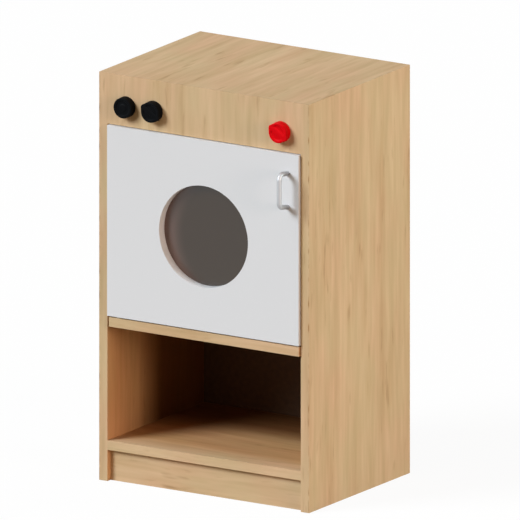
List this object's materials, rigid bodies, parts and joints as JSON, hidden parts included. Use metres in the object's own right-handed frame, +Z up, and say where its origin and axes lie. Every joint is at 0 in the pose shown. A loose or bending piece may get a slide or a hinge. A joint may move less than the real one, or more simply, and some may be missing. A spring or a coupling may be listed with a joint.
{
  "type": "toy washing machine",
  "caption": "Play washing machine cabinet with an inset swinging door, round smoked window, bow handle, turning knobs and an open lower compartment.",
  "frame": {"origin": "on the floor, under the middle of the whole object's box, handle included", "axes": "+Z up, the front faces -Y, +X to the right seen from the front"},
  "size_m": [0.46, 0.39, 0.782],
  "materials": {
    "oak_laminate": "satin laminate with a light oak print",
    "hardboard": "smooth hardboard",
    "zinc_steel": "zinc plated",
    "cast_zinc": "bare zinc casting",
    "beech": "turned beech",
    "nylon": "moulded nylon",
    "catch_plastic": "moulded plastic",
    "ferrite": "sintered ferrite",
    "white_laminate": "matt white laminate",
    "smoked_acrylic": "polished smoked acrylic",
    "satin_steel": "satin plated",
    "black_abs": "moulded satin",
    "red_abs": "moulded satin"
  },
  "bodies": {
    "cabinet": {"side_panel_left": "oak_laminate", "side_panel_right": "oak_laminate", "top_panel": "oak_laminate", "fascia_panel": "oak_laminate", "middle_shelf": "oak_laminate", "bottom_panel": "oak_laminate", "plinth_board": "oak_laminate", "back_panel": "hardboard", "back_panel_screws": "zinc_steel", "shelf_dowels": "beech", "fascia_dowels": "beech", "plinth_dowels": "beech", "cam_bolts": "zinc_steel", "cam_housings": "cast_zinc", "pivot_pin_lower": "zinc_steel", "pivot_pin_upper": "zinc_steel", "pivot_washer": "nylon", "catch_housing": "catch_plastic", "catch_magnet": "ferrite", "catch_pole_plates": "zinc_steel", "catch_screws": "zinc_steel", "spindle_bush_left": "nylon", "spindle_bush_middle": "nylon", "spindle_bush_right": "nylon"},
    "door": {"door_panel": "white_laminate", "window_pane": "smoked_acrylic", "window_screws": "zinc_steel", "door_handle": "satin_steel", "handle_screws": "zinc_steel", "pivot_bush_lower": "nylon", "pivot_bush_upper": "nylon", "strike_plate": "zinc_steel", "strike_screw": "zinc_steel"},
    "left_knob": {"knob_left": "black_abs", "spindle_left": "zinc_steel", "spindle_washer_left": "zinc_steel", "spindle_nut_left": "zinc_steel"},
    "middle_knob": {"knob_middle": "black_abs", "spindle_middle": "zinc_steel", "spindle_washer_middle": "zinc_steel", "spindle_nut_middle": "zinc_steel"},
    "right_knob": {"knob_right": "red_abs", "spindle_right": "zinc_steel", "spindle_washer_right": "zinc_steel", "spindle_nut_right": "zinc_steel"}
  },
  "joints": [
    {"name": "door_hinge", "type": "hinge", "parent": "cabinet", "child": "door", "pos_m": [-0.187, -0.15, 0.501], "axis": [0, 0, -1], "range_deg": [0, 140]},
    {"name": "left_knob_turn", "type": "hinge", "parent": "cabinet", "child": "left_knob", "pos_m": [-0.17, -0.155, 0.723], "axis": [0, -1, 0], "continuous": true},
    {"name": "middle_knob_turn", "type": "hinge", "parent": "cabinet", "child": "middle_knob", "pos_m": [-0.11, -0.155, 0.723], "axis": [0, -1, 0], "continuous": true},
    {"name": "right_knob_turn", "type": "hinge", "parent": "cabinet", "child": "right_knob", "pos_m": [0.17, -0.155, 0.723], "axis": [0, -1, 0], "continuous": true}
  ]
}
